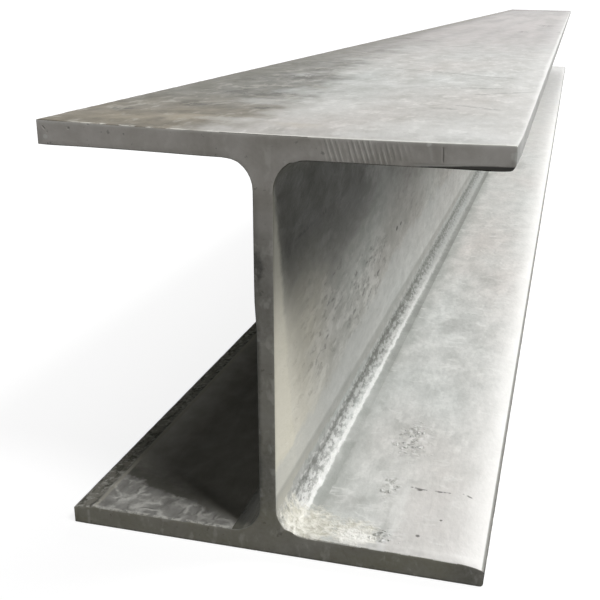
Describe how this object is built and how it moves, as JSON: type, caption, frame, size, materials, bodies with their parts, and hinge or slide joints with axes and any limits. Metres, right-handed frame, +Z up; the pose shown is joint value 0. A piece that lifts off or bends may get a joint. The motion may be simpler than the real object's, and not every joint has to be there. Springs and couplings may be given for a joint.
{
  "type": "steel i-beam",
  "caption": "Straight length of hot-rolled, galvanised wide-flange steel beam: two parallel flanges joined by a thin web with rounded roots.",
  "frame": {"origin": "middle of the beam's length and width, on the underside of the lower flange", "axes": "+X across the flanges to the right as seen from the near end, +Y along the beam away from the near end, +Z up through the web to the upper flange"},
  "size_m": [0.2, 3, 0.1955],
  "materials": {
    "galvanised_steel": "matt mottled hot-dip zinc, with bare saw-cut ends"
  },
  "bodies": {
    "root": {"i_beam": "galvanised_steel"}
  },
  "joints": []
}
